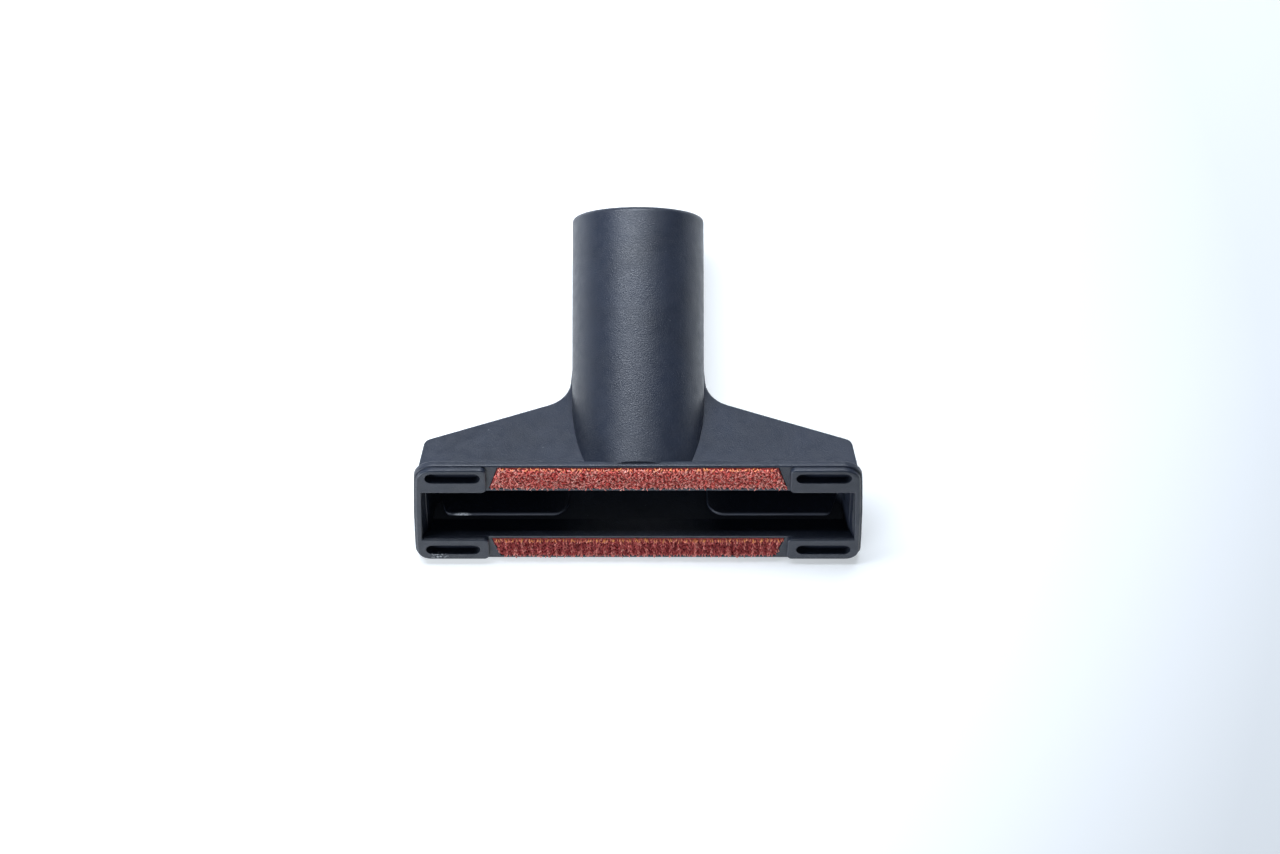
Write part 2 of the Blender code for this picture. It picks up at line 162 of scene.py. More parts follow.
def ripple(x: np.ndarray, y: np.ndarray, seed: int, size: float, waves: int = 24) -> np.ndarray:
    """A smooth random field: a sum of plane waves with random directions and phases.

    Args:
        x: First coordinate of each place, in metres.
        y: Second coordinate of each place, in metres.
        seed: Seed of the random draws.
        size: Mean wavelength in metres.
        waves: Number of waves added.

    Returns:
        A value for each place, about -1 to 1.
    """
    rng = np.random.default_rng(seed)
    angle = rng.uniform(0, 2 * np.pi, waves)
    number = 2 * np.pi / (size * rng.uniform(*RIPPLE_WAVES, waves))
    phase = rng.uniform(0, 2 * np.pi, waves)
    along = np.multiply.outer(x, number * np.cos(angle)) + np.multiply.outer(y, number * np.sin(angle))
    return np.sin(along + phase).sum(axis=-1) / math.sqrt(waves / 2) / RIPPLE_PEAK


@dataclass(frozen=True)
class NodeSheet:
    """A material's node tree with short ways to add nodes and links to it."""

    material: bpy.types.Material

    @classmethod
    def fresh(cls, name: str) -> "NodeSheet":
        """Starts a material with one Principled shader.

        Args:
            name: The material's name.

        Returns:
            The material's node sheet.
        """
        material = bpy.data.materials.new(name)
        material.use_nodes = True
        return cls(material)

    @property
    def shader(self) -> bpy.types.Node:
        """The Principled shader."""
        return self.material.node_tree.nodes["Principled BSDF"]

    def add(self, kind: str, **settings: object) -> bpy.types.Node:
        """Adds a node.

        Args:
            kind: The node's type name.
            **settings: Properties of the node, or names of inputs with spaces as underscores.

        Returns:
            The new node.
        """
        item = self.material.node_tree.nodes.new(kind)
        for name, value in settings.items():
            if hasattr(item, name):
                setattr(item, name, value)
            else:
                item.inputs[name.replace("_", " ")].default_value = value
        return item

    def link(self, source: bpy.types.NodeSocket, target: bpy.types.NodeSocket) -> None:
        """Links an output to an input."""
        self.material.node_tree.links.new(source, target)

    def place(self) -> bpy.types.NodeSocket:
        """The Object coordinates, in metres."""
        return self.add("ShaderNodeTexCoord").outputs["Object"]

    def noise(self, size: float, detail: float = 3.0, roughness: float = 0.5) -> bpy.types.NodeSocket:
        """A noise of a given grain size.

        Args:
            size: Width of the largest grains in metres.
            detail: Number of finer layers.
            roughness: How strong the finer layers are.

        Returns:
            The noise value, about 0.25 to 0.75.
        """
        item = self.add("ShaderNodeTexNoise", Scale=1 / size, Detail=detail, Roughness=roughness)
        self.link(self.place(), item.inputs["Vector"])
        return item.outputs["Fac"]

    def spread(self, value: bpy.types.NodeSocket, low: float, high: float,
               to_low: float = 0.0, to_high: float = 1.0) -> bpy.types.NodeSocket:
        """Maps a range of a value to another one, clamped.

        Args:
            value: The value that is mapped.
            low: Where the range starts.
            high: Where the range ends.
            to_low: What the start becomes.
            to_high: What the end becomes.

        Returns:
            The mapped value.
        """
        item = self.add("ShaderNodeMapRange", From_Min=low, From_Max=high,
                        To_Min=to_low, To_Max=to_high)
        self.link(value, item.inputs["Value"])
        return item.outputs["Result"]

    def math(self, operation: str, first: bpy.types.NodeSocket,
             second: bpy.types.NodeSocket) -> bpy.types.NodeSocket:
        """Joins two values.

        Args:
            operation: The name of the operation, such as a product or a maximum.
            first: The first value.
            second: The second value.

        Returns:
            The joined value.
        """
        item = self.add("ShaderNodeMath", operation=operation)
        self.link(first, item.inputs[0])
        self.link(second, item.inputs[1])
        return item.outputs[0]

    def blend(self, share: bpy.types.NodeSocket, first: bpy.types.NodeSocket | Rgb,
              second: bpy.types.NodeSocket | Rgb) -> bpy.types.NodeSocket:
        """Mixes two colours.

        Args:
            share: Share of the second colour.
            first: A colour, or an output with one.
            second: A colour, or an output with one.

        Returns:
            The mixed colour.
        """
        item = self.add("ShaderNodeMix", data_type="RGBA")
        self.link(share, item.inputs["Factor"])
        for socket, value in ((item.inputs[6], first), (item.inputs[7], second)):
            if isinstance(value, tuple):
                socket.default_value = (*value, 1.0)
            else:
                self.link(value, socket)
        return item.outputs[2]

    def bump(self, height: bpy.types.NodeSocket, depth: float,
             under: bpy.types.NodeSocket | None = None) -> bpy.types.NodeSocket:
        """Turns a height into a normal.

        Args:
            height: The height value.
            depth: Distance in metres that a height of one stands for.
            under: A normal that this one is laid over.

        Returns:
            The bumped normal.
        """
        item = self.add("ShaderNodeBump", Strength=1.0, Distance=depth)
        self.link(height, item.inputs["Height"])
        if under is not None:
            self.link(under, item.inputs["Normal"])
        return item.outputs["Normal"]


@dataclass(frozen=True)
class RubAndGlintSpot:
    """A soft spot, used for a rubbed spot and for a painted highlight: its centre, its half widths, and
    the share of them at full strength.
    """

    at: Place
    reach: Place
    core: float = 0.4

    def mask(self, sheet: NodeSheet) -> bpy.types.NodeSocket:
        """A soft ellipsoid round the centre, 1 in its core and 0 outside.

        Args:
            sheet: The material's node tree.

        Returns:
            The mask.
        """
        apart = sheet.add("ShaderNodeVectorMath", operation="SUBTRACT")
        sheet.link(sheet.place(), apart.inputs[0])
        apart.inputs[1].default_value = self.at
        share = sheet.add("ShaderNodeVectorMath", operation="DIVIDE")
        sheet.link(apart.outputs["Vector"], share.inputs[0])
        share.inputs[1].default_value = self.reach
        length = sheet.add("ShaderNodeVectorMath", operation="LENGTH")
        sheet.link(share.outputs["Vector"], length.inputs[0])
        return sheet.spread(length.outputs["Value"], 1.0, self.core)


@dataclass(frozen=True)
class MouldedPlastic:
    """Matt moulded plastic: a fine spark-eroded grain, faint clouds, pale specks, a rubbed spot on a
    pad and a painted highlight on a rib's edge.
    """

    colour: Rgb = (0.0125, 0.017, 0.030)
    # Pale colour of the specks and the pad's rub, which are wear, also used for the painted highlight
    # on the rib.
    wear_and_glint: Rgb = (0.42, 0.44, 0.46)
    roughness: float = 0.41
    rough_change: Span = (-0.05, 0.07)
    rough_patch: float = 3.0 * MM
    gloss: float = 0.52
    grain: float = 0.38 * MM
    grain_depth: float = 0.085 * MM
    wave: float = 5.0 * MM
    wave_depth: float = 0.05 * MM
    cloud: float = 14.0 * MM
    cloud_tones: Span = (0.84, 1.22)
    speck: float = 0.8 * MM
    speck_range: Span = (0.735, 0.80)
    dusty_patch: float = 9.0 * MM
    dusty_range: Span = (0.50, 0.62)
    dusty_share: float = 0.30
    pad_rub: RubAndGlintSpot = RubAndGlintSpot((-59.0 * MM, -48.6 * MM, 3.8 * MM), (3.4 * MM, 1.3 * MM, 1.3 * MM))
    # The rib's spot is a painted highlight: a glint along the rib's edge, not wear.
    rib_glint: RubAndGlintSpot = RubAndGlintSpot((-51.5 * MM, -37.4 * MM, 12.9 * MM), (3.0 * MM, 0.8 * MM, 0.8 * MM))
    grit: float = 0.7 * MM
    pad_grit: Span = (0.52, 0.58)
    rib_glint_grit: Span = (0.38, 0.46)

    def rub_and_glint(self, sheet: NodeSheet) -> bpy.types.NodeSocket:
        """The mask of the rubbed spot on the pad, broken up by a noise, and of the painted highlight on
        the rib's edge, nearly whole.

        Args:
            sheet: The material's node tree.

        Returns:
            The mask.
        """
        grit = sheet.noise(self.grit, 4.0, 0.6)
        pad = sheet.math("MULTIPLY", self.pad_rub.mask(sheet), sheet.spread(grit, *self.pad_grit))
        # Painted highlight on the rib's edge, nearly unbroken.
        rib = sheet.math("MULTIPLY", self.rib_glint.mask(sheet), sheet.spread(grit, *self.rib_glint_grit))
        return sheet.math("MAXIMUM", pad, rib)

    def specks(self, sheet: NodeSheet) -> bpy.types.NodeSocket:
        """The mask of the pale specks, which lie in dusty patches.

        Args:
            sheet: The material's node tree.

        Returns:
            The mask.
        """
        fine = sheet.spread(sheet.noise(self.speck, 2.0), *self.speck_range)
        dusty = sheet.noise(self.dusty_patch, 1.0)
        dusty = sheet.spread(dusty, *self.dusty_range, 0.0, self.dusty_share)
        return sheet.math("MULTIPLY", fine, dusty)

    def make(self, name: str) -> bpy.types.Material:
        """Makes the material.

        Args:
            name: The material's name.

        Returns:
            The material.
        """
        sheet = NodeSheet.fresh(name)
        shader = sheet.shader
        clouds = sheet.spread(sheet.noise(self.cloud, 4.0, 0.6), *NOISE_RANGE)
        darker, lighter = (scaled(self.colour, share) for share in self.cloud_tones)
        plain = sheet.blend(clouds, darker, lighter)
        # The pale colour covers the specks and the pad's rub, which are wear, and the rib's painted
        # highlight.
        wear_and_glint = sheet.math("MAXIMUM", self.specks(sheet), self.rub_and_glint(sheet))
        sheet.link(sheet.blend(wear_and_glint, plain, self.wear_and_glint), shader.inputs["Base Color"])
        least, most = (self.roughness + change for change in self.rough_change)
        rough = sheet.spread(sheet.noise(self.rough_patch, 3.0), *NOISE_RANGE, least, most)
        sheet.link(rough, shader.inputs["Roughness"])
        wavy = sheet.bump(sheet.noise(self.wave, 1.0), self.wave_depth)
        grained = sheet.bump(sheet.noise(self.grain, 2.0, 0.6), self.grain_depth, wavy)
        sheet.link(grained, shader.inputs["Normal"])
        shader.inputs["Metallic"].default_value = 0.0
        shader.inputs["Specular IOR Level"].default_value = self.gloss
        return sheet.material


@dataclass(frozen=True)
class PileYarn:
    """Short pile: each fibre has its own tone, with painted shade darkening it towards its root, and
    the upper edge is orange.
    """

    deep: Rgb = (0.80, 0.076, 0.066)
    plain: Rgb = (1.0, 0.23, 0.190)
    bright: Rgb = (1.0, 0.54, 0.45)
    edge: Rgb = (1.0, 0.42, 0.15)
    # How dark the painted shade at a fibre's root is, as a share of the deep tone.
    root_shade_share: float = 0.5
    roughness: float = 0.7
    sheen: float = 0.30
    sheen_roughness: float = 0.4

    def make(self, name: str) -> bpy.types.Material:
        """Makes the material, which reads the fibres' own attributes tone, reach and hem.

        Args:
            name: The material's name.

        Returns:
            The material.
        """
        sheet = NodeSheet.fresh(name)
        shader = sheet.shader
        tone, reach, hem = (sheet.add("ShaderNodeAttribute", attribute_name=attribute).outputs["Fac"]
                            for attribute in ("tone", "reach", "hem"))
        ramp = sheet.add("ShaderNodeValToRGB")
        ramp.color_ramp.elements[0].color = (*self.deep, 1.0)
        ramp.color_ramp.elements[1].color = (*self.bright, 1.0)
        middle = ramp.color_ramp.elements.new(0.5)
        middle.color = (*self.plain, 1.0)
        sheet.link(tone, ramp.inputs["Fac"])
        edged = sheet.blend(hem, ramp.outputs["Color"], self.edge)
        # Painted shade: each fibre darkens towards its root, deep in the pile.
        root = scaled(self.deep, self.root_shade_share)
        sheet.link(sheet.blend(reach, root, edged), shader.inputs["Base Color"])
        shader.inputs["Roughness"].default_value = self.roughness
        shader.inputs["Sheen Weight"].default_value = self.sheen
        shader.inputs["Sheen Roughness"].default_value = self.sheen_roughness
        shader.inputs["Sheen Tint"].default_value = (*self.plain, 1.0)
        return sheet.material


@dataclass(frozen=True)
class WovenTape:
    """The ground cloth under the pile, red with a fine weave whose low places carry painted shade."""

    colour: Rgb = (0.66, 0.105, 0.092)
    gap_shade_share: float = 0.45
    thread: float = 0.35 * MM
    thread_bend: float = 1.5
    thread_depth: float = 0.08 * MM
    fuzz: float = 0.6 * MM
    roughness: float = 0.9

    def make(self, name: str) -> bpy.types.Material:
        """Makes the material.

        Args:
            name: The material's name.

        Returns:
            The material.
        """
        sheet = NodeSheet.fresh(name)
        shader = sheet.shader
        wave = sheet.add("ShaderNodeTexWave", Scale=1 / (3 * self.thread), Distortion=self.thread_bend)
        sheet.link(sheet.place(), wave.inputs["Vector"])
        fuzz = sheet.spread(sheet.noise(self.fuzz), *NOISE_RANGE)
        both = sheet.math("MULTIPLY", wave.outputs["Fac"], fuzz)
        # The low places of the weave get painted shade, a darker red.
        gap_shade = scaled(self.colour, self.gap_shade_share)
        sheet.link(sheet.blend(both, gap_shade, self.colour), shader.inputs["Base Color"])
        sheet.link(sheet.bump(both, self.thread_depth), shader.inputs["Normal"])
        shader.inputs["Roughness"].default_value = self.roughness
        return sheet.material


@dataclass(frozen=True)
class WhiteCard:
    """The white table. It takes the shadow, and a glow whitens it without lighting the nozzle.

    Only the camera and rays off gloss or through glass see the glow. It fades with the distance from a
    place to the left of the nozzle, as the table does in the light of one window.
    """

    colour: Rgb = (0.67, 0.68, 0.69)
    roughness: float = 0.9
    tint: Rgb = (0.96, 1.0, 1.03)
    glow: float = 0.54
    fade_from: Place = (-0.14, -0.03, 0.0)
    fade_near: float = 0.14
    fade_far: float = 0.33

    def make(self, name: str) -> bpy.types.Material:
        """Makes the material.

        Args:
            name: The material's name.

        Returns:
            The material.
        """
        sheet = NodeSheet.fresh(name)
        shader = sheet.shader
        shader.inputs["Base Color"].default_value = (*self.colour, 1.0)
        shader.inputs["Roughness"].default_value = self.roughness
        shader.inputs["Specular IOR Level"].default_value = 0.0
        shader.inputs["Emission Color"].default_value = (*self.tint, 1.0)
        rays = sheet.add("ShaderNodeLightPath")
        seen = sheet.math("MAXIMUM", rays.outputs["Is Camera Ray"], rays.outputs["Is Glossy Ray"])
        seen = sheet.math("MAXIMUM", seen, rays.outputs["Is Transmission Ray"])
        apart = sheet.add("ShaderNodeVectorMath", operation="DISTANCE")
        sheet.link(sheet.place(), apart.inputs[0])
        apart.inputs[1].default_value = self.fade_from
        glow = sheet.spread(apart.outputs["Value"], self.fade_near, self.fade_far, self.glow, 0.0)
        sheet.link(sheet.math("MULTIPLY", seen, glow), shader.inputs["Emission Strength"])
        return sheet.material


@dataclass(frozen=True)
class SoleAxes:
    """The sole's own axes, taken from the record's mount on a corner pad."""

    across: Vector
    up: Vector
    out: Vector

    @classmethod
    def from_record(cls, record: dict) -> "SoleAxes":
        """Reads the direction out of the mouth from the mount on a corner pad.

        Args:
            record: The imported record.

        Returns:
            The axes.
        """
        out = next(Vector(mount["axis"]) for mount in record["mounts"] if mount["name"] == "sole_pad")
        across = Vector((1.0, 0.0, 0.0))
        return cls(across, out.normalized().cross(across).normalized(), out.normalized())

    def to_world(self, points: np.ndarray) -> np.ndarray:
        """Turns places along the three axes into world positions."""
        return points @ np.array([self.across, self.up, self.out])

    def from_world(self, points: np.ndarray) -> np.ndarray:
        """Turns world positions into places along the three axes."""
        return points @ np.array([self.across, self.up, self.out]).T


@dataclass
class Moulding:
    """The one-piece plastic body: a smooth-shaded copy of its solid."""

    node: str = "nozzle_body"
    name: str = "moulded_shell"
    slot: str = "charcoal_plastic"
    finish: MouldedPlastic = field(default_factory=MouldedPlastic)
    weld: float = 0.002 * MM
    sharp: float = 29.0
    facet: float = 3.0
    round_error: float = 0.02 * MM

    def build(self) -> bpy.types.Object:
        """Welds a copy of the solid's loose triangles and gives its corners their normals.

        Returns:
            The shell, riding on the body and standing for its node.
        """
        mesh = frame["nodes"][self.node].data.copy()
        mesh.name = self.name
        bm = bmesh.new()
        bm.from_mesh(mesh)
        bmesh.ops.remove_doubles(bm, verts=bm.verts[:], dist=self.weld)
        bm.to_mesh(mesh)
        bm.free()
        mesh.shade_smooth()
        mesh.normals_split_custom_set(self.corner_normals(mesh))
        shell = bpy.data.objects.new(self.name, mesh)
        bpy.context.scene.collection.objects.link(shell)
        self.dress(shell)
        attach(shell, BODY)
        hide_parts(self.node)
        return shell

    def corner_normals(self, mesh: bpy.types.Mesh) -> np.ndarray:
        """Works out a normal for each corner of a mesh of triangles.

        A corner's normal is the mean of the triangles round its vertex that turn less than the sharp
        angle from its own triangle, weighted by area. On the tube's outside, a cylinder that lies on
        the ground plane and is as wide as the part is high, the normal is the exact radius.

        Args:
            mesh: The welded mesh.

        Returns:
            One normal for each corner.
        """
        corners, count = len(mesh.loops), len(mesh.polygons)
        vertex, place = np.empty(corners, dtype=int), np.empty(3 * len(mesh.vertices))
        normal, area = np.empty(3 * count), np.empty(count)
        mesh.loops.foreach_get("vertex_index", vertex)
        mesh.vertices.foreach_get("co", place)
        mesh.polygons.foreach_get("normal", normal)
        mesh.polygons.foreach_get("area", area)
        normal = normal.reshape(-1, 3)
        face = np.repeat(np.arange(count), 3)
        one, other = self.fellow_corners(vertex, len(mesh.vertices))
        turn = (normal[face[one]] * normal[face[other]]).sum(axis=1)
        alike = turn > math.cos(math.radians(self.sharp))
        pull = (area[face[other]] * alike)[:, None] * normal[face[other]]
        total = np.column_stack([np.bincount(one, pull[:, axis], corners) for axis in range(3)])
        length = np.linalg.norm(total, axis=1, keepdims=True)
        total = np.where(length > 0, total / np.maximum(length, TINY), normal[face])
        radius = CAD_BOX[1][2] / 2
        spoke = place.reshape(-1, 3)[vertex] * (1, 0, 1) - (0, 0, radius)
        reach = np.linalg.norm(spoke, axis=1)
        spoke /= np.maximum(reach, self.round_error)[:, None]
        along = (spoke * normal[face]).sum(axis=1) > math.cos(math.radians(self.facet))
        on_tube = along & (np.abs(reach - radius) < self.round_error)
        return np.where(on_tube[:, None], spoke, total)

    @staticmethod
    def fellow_corners(vertex: np.ndarray, vertices: int) -> tuple[np.ndarray, np.ndarray]:
        """Pairs each corner with every corner at the same vertex, itself included.

        Args:
            vertex: The vertex number of each corner.
            vertices: Number of vertices.

        Returns:
            The two corner numbers of each pair.
        """
        order = np.argsort(vertex, kind="stable")
        sizes = np.bincount(vertex, minlength=vertices)
        starts = np.cumsum(sizes) - sizes
        fellows = sizes[vertex]
        one = np.repeat(np.arange(len(vertex)), fellows)
        step = np.arange(fellows.sum()) - np.repeat(np.cumsum(fellows) - fellows, fellows)
        return one, order[np.repeat(starts[vertex], fellows) + step]

    def dress(self, shell: bpy.types.Object) -> None:
        """Gives the shell its plastic."""
        shell.data.materials.clear()
        shell.data.materials.append(self.finish.make("grained_plastic"))


@dataclass(frozen=True)
class StripShape:
    """A strip's solid along the sole's axes.

    It has a low and a high edge up the sole, half a width at each, and a lowest and a highest level.
    """

    low: float
    high: float
    low_half: float
    high_half: float
    bottom: float
    top: float

    @classmethod
    def measured(cls, node: str, axes: SoleAxes, near: float = 0.05 * MM) -> "StripShape":
        """Measures a strip's solid.

        Args:
            node: Name of the solid's node.
            axes: The sole's axes.
            near: How near to an edge the corners lie that belong to it.

        Returns:
            The strip's shape.
        """
        mesh = frame["nodes"][node].data
        points = np.empty(3 * len(mesh.vertices))
        mesh.vertices.foreach_get("co", points)
        places = axes.from_world(points.reshape(-1, 3))
        low, high = places[:, 1].min(), places[:, 1].max()
        low_half = np.abs(places[places[:, 1] < low + near, 0]).max()
        high_half = np.abs(places[places[:, 1] > high - near, 0]).max()
        return cls(low, high, low_half, high_half, places[:, 2].min(), places[:, 2].max())

    def up(self, share: np.ndarray) -> np.ndarray:
        """Places up the sole at shares of the way up the strip."""
        return self.low + (self.high - self.low) * share

    def half(self, share: np.ndarray) -> np.ndarray:
        """Half the width at shares of the way up the strip."""
        return self.low_half + (self.high_half - self.low_half) * share


@dataclass(frozen=True)
class Stray:
    """How far the locks and their fibres stray from the pattern.

    Offsets of locks are shares of the step between them, leans are in degrees, and the two sizes are
    in metres. The rest are shares of a length, a radius, a tone or a heading of one.
    """

    row: float = 0.28
    row_most: float = 0.45
    column: float = 0.30
    turned: float = 0.20
    side: Span = (0.5, 1.1)
    swirl: float = 0.45
    swirl_size: float = 4 * MM
    lock_heading: float = 0.30
    fibre_heading: float = 0.07
    lock_lean: float = 12.0
    lean_range: Span = (8.0, 75.0)
    fibre_lean: float = 3.0
    lock_length: Span = (0.80, 1.12)
    fibre_length: Span = (0.92, 1.05)
    radius: Span = (0.85, 1.15)
    patch_tone: float = 0.06
    patch_size: float = 3 * MM
    lock_tone: float = 0.24
    fibre_tone: float = 0.07


@dataclass
class LintStrip:
    """A strip of pile on a lip: a ground cloth with thousands of fibres that stand in leaning locks."""

    lip: Lip
    axes: SoleAxes
    yarn: PileYarn
    tape: WovenTape = field(default_factory=WovenTape)
    ground_drop: float = 0.28 * MM
    ground_grid: tuple[int, int] = (40, 360)
    weave_across: float = 0.9 * MM
    weave_up: float = 0.8 * MM
    weave_height: float = 0.06 * MM
    ground_sharp: float = 40.0
    lock_across: float = 0.56 * MM
    lock_up: float = 0.80 * MM
    lock_spread: float = 0.15 * MM
    margin: float = 0.12 * MM
    fibres: int = 7
    fibre_radius: float = 0.075 * MM
    fibre_length: float = 1.20 * MM
    fibre_depth: float = 0.1 * MM
    lean: float = 59.0
    splay: float = 1.0
    droop: float = 0.25
    rib: float = 2.42 * MM
    rib_depth: float = 0.0
    # Painted shade in the grooves between ribs: how much darker the fibres there are.
    groove_shade: float = 0.0
    notch: float = 0.35
    notch_height: float = 0.12
    notch_ribbing: float = 0.35
    notch_soft: float = 0.25
    hem_share: float = 0.92
    hem_soft: float = 0.04
    hem_tones: Span = (0.15, 0.95)
    tone_middle: float = 0.66
    tone_slope: float = -0.15
    tone_at_hems: float = 0.0
    light_hem: float = 0.2
    # Share of each fibre's own colour over the painted shade at its root, at the root, the bend and the
    # end.
    reach_steps: tuple[float, ...] = (0.75, 1.0, 1.0)
    stray: Stray = field(default_factory=Stray)
    seed: int = 7

    @property
    def node(self) -> str:
        """The name of the strip's solid."""
        return f"{self.lip.value}_lint_strip"

    @property
    def shape(self) -> StripShape:
        """The shape of the strip's solid."""
        return StripShape.measured(self.node, self.axes)

    def ground(self) -> bpy.types.Object:
        """Makes the ground cloth: a slab whose top waves like a weave, a sine of x times a sine of t.

        Returns:
            The ground cloth.
        """
        shape = self.shape
        rows, columns = self.ground_grid
        share = np.linspace(0, 1, rows)[:, None]
        along = np.linspace(-1, 1, columns)[None, :]
        x = along * shape.half(share)
        t = shape.up(share) + 0 * along
        weave = np.sin(2 * np.pi * x / self.weave_across) * np.sin(2 * np.pi * t / self.weave_up)
        weave = self.weave_height * weave
        upper = np.stack([x, t, shape.top - self.ground_drop + weave], axis=-1)
        lower = np.stack([x, t, np.full_like(x, shape.bottom)], axis=-1)
        points, faces = closed_slab(upper, lower)
        item = mesh_object(f"{self.lip.value}_ground_cloth", self.axes.to_world(points), faces)
        item.data.shade_smooth()
        item.data.set_sharp_from_angle(angle=math.radians(self.ground_sharp))
        item.data.materials.append(self.tape.make(f"{self.lip.value}_ground_weave"))
        return item

    def locks(self, rng: np.random.Generator) -> tuple[np.ndarray, np.ndarray, np.ndarray]:
        """Lays the locks out in rows, every other row shifted by half a step, with random offsets.

        Args:
            rng: The strip's random numbers.

        Returns:
            For each lock its place (x, t), its share of the way up the strip, and its side, 1 or -1:
            the locks of a row lean right and left in turn, so that they cross.
        """
        shape, stray = self.shape, self.stray
        rows = max(2, round((shape.high - shape.low) / self.lock_up))
        columns = round(2 * max(shape.low_half, shape.high_half) / self.lock_across) + 1
        row, column = np.meshgrid(np.arange(rows), np.arange(columns), indexing="ij")
        offset = np.clip(rng.normal(0, stray.row, row.shape), -stray.row_most, stray.row_most)
        share = (row + 0.5 + offset) / rows
        x = (column - (columns - 1) / 2 + 0.5 * (row % 2) - 0.25) * self.lock_across
        x = x + rng.normal(0, stray.column * self.lock_across, x.shape)
        kept = np.abs(x) < shape.half(share) - self.margin
        turned = np.where(rng.uniform(0, 1, row.shape) < stray.turned, -1.0, 1.0)
        side = np.where((row + column) % 2, 1.0, -1.0) * turned
        return np.stack([x[kept], shape.up(share[kept])], axis=-1), share[kept], side[kept]

    def strands(self, rng: np.random.Generator, places: np.ndarray, share: np.ndarray,
                side: np.ndarray, ribbing: np.ndarray) -> np.ndarray:
        """Works out the corners of all fibres.

        The fibres of a lock stand close together and lean the same way, sideways with a little of the
        way down the sole. A fibre's root lies in the ground cloth, its bend stands half of its length
        up, tipped by a third of the lean, and its end goes on at the full lean. The pile is shorter
        between the ribs, and at the low edge it has a notch between two ribs.

        Args:
            rng: The strip's random numbers.
            places: Place (x, t) of each lock.
            share: Share of the way up the strip of each lock.
            side: Side to which each lock leans, 1 or -1.
            ribbing: 1 for a lock on a rib and 0 for one between two ribs.

        Returns:
            The corners, (number of fibres, 9, 3).
        """
        stray, count, number = self.stray, len(places), len(places) * self.fibres
        lock = np.repeat(np.arange(count), self.fibres)
        turn = rng.uniform(0, 2 * np.pi, number)
        away = self.lock_spread * np.sqrt(rng.uniform(0, 1, number))
        root = places[lock] + np.stack([away * np.cos(turn), away * np.sin(turn)], axis=-1)
        swirl = ripple(places[:, 0], places[:, 1], self.seed + 1, stray.swirl_size)
        heading = np.stack([side * rng.uniform(*stray.side, count), stray.swirl * swirl], axis=-1)
        heading = self.splay * (heading + rng.normal(0, stray.lock_heading, heading.shape))
        heading = heading - (0, self.droop)
        heading /= np.linalg.norm(heading, axis=1, keepdims=True)
        heading = heading[lock] + rng.normal(0, stray.fibre_heading, (number, 2))
        lean = np.clip(self.lean + rng.normal(0, stray.lock_lean, count), *stray.lean_range)
        lean = np.radians(lean[lock] + rng.normal(0, stray.fibre_lean, number))
        low_edge = np.clip(1 - share / self.notch_height, 0, 1)
        low_edge = low_edge * np.clip((self.notch_ribbing - ribbing) / self.notch_soft, 0, 1)
        length = self.fibre_length * rng.uniform(*stray.lock_length, count)
        length = length * (1 - self.rib_depth * (1 - ribbing)) * (1 - self.notch * low_edge)
        length = length[lock] * rng.uniform(*stray.fibre_length, number)
        level = self.shape.top - self.ground_drop - self.fibre_depth
        start = np.column_stack([root, np.full(number, level)])
        first = np.column_stack([heading * np.sin(lean / 3)[:, None], np.cos(lean / 3)])
        second = np.column_stack([heading * np.sin(lean)[:, None], np.cos(lean)])
        middle = start + 0.5 * length[:, None] * first
        tip = middle + 0.5 * length[:, None] * second
        radius = self.fibre_radius * rng.uniform(*stray.radius, number)
        return self.rods(start, middle, tip, first, second, radius)

    def tones(self, rng: np.random.Generator, places: np.ndarray, share: np.ndarray,
              ribbing: np.ndarray) -> np.ndarray:
        """Gives each fibre a tone: darker up the strip, darker between ribs as painted shade, lighter
        at the two edges.

        Args:
            rng: The strip's random numbers.
            places: Place (x, t) of each lock.
            share: Share of the way up the strip of each lock.
            ribbing: 1 for a lock on a rib and 0 for one between two ribs.

        Returns:
            A tone from 0 to 1 for each fibre.
        """
        stray, count = self.stray, len(places)
        patch = ripple(places[:, 0], places[:, 1], self.seed + 2, stray.patch_size)
        tone = self.tone_middle + self.tone_slope * (share - 0.5) + stray.patch_tone * patch
        # Fibres between ribs get painted shade.
        tone += rng.normal(0, stray.lock_tone, count) - self.groove_shade * (1 - ribbing)
        tone += self.tone_at_hems * np.clip(1 - np.minimum(share, 1 - share) / self.light_hem, 0, 1)
        own = rng.normal(0, stray.fibre_tone, count * self.fibres)
        return np.clip(np.repeat(tone, self.fibres) + own, 0, 1)

    def pile(self) -> bpy.types.Object:
        """Makes the pile: each fibre is a three-sided rod that bends from upright to its lean.

        A cosine across the strip, one period to a rib, says how much of a rib each lock stands on.

        Returns:
            The pile as one object, with the attributes tone, reach and hem.
        """
        rng = np.random.default_rng(self.seed)
        places, share, side = self.locks(rng)
        ribbing = 0.5 + 0.5 * np.cos(2 * np.pi * places[:, 0] / self.rib)
        points = self.strands(rng, places, share, side, ribbing)
        number, corners = points.shape[:2]
        faces = corners * np.arange(number)[:, None, None] + FIBRE_TRIANGLES
        item = mesh_object(f"{self.lip.value}_pile", self.axes.to_world(points.reshape(-1, 3)),
                           faces.reshape(-1, 3))
        tone = self.tones(rng, places, share, ribbing)
        between, on_rib = self.hem_tones
        hem = np.clip((share - self.hem_share) / self.hem_soft, 0, 1)
        hem = hem * np.clip(between + on_rib * ribbing, 0, 1)
        values = {"tone": np.repeat(tone, corners),
                  "reach": np.tile(np.repeat(self.reach_steps, 3), number),
                  "hem": np.repeat(hem, self.fibres * corners)}
        for name, value in values.items():
            item.data.attributes.new(name, "FLOAT", "POINT").data.foreach_set("value", value)
        item.data.shade_smooth()
        item.data.materials.append(self.yarn.make(f"{self.lip.value}_pile_yarn"))
        return item

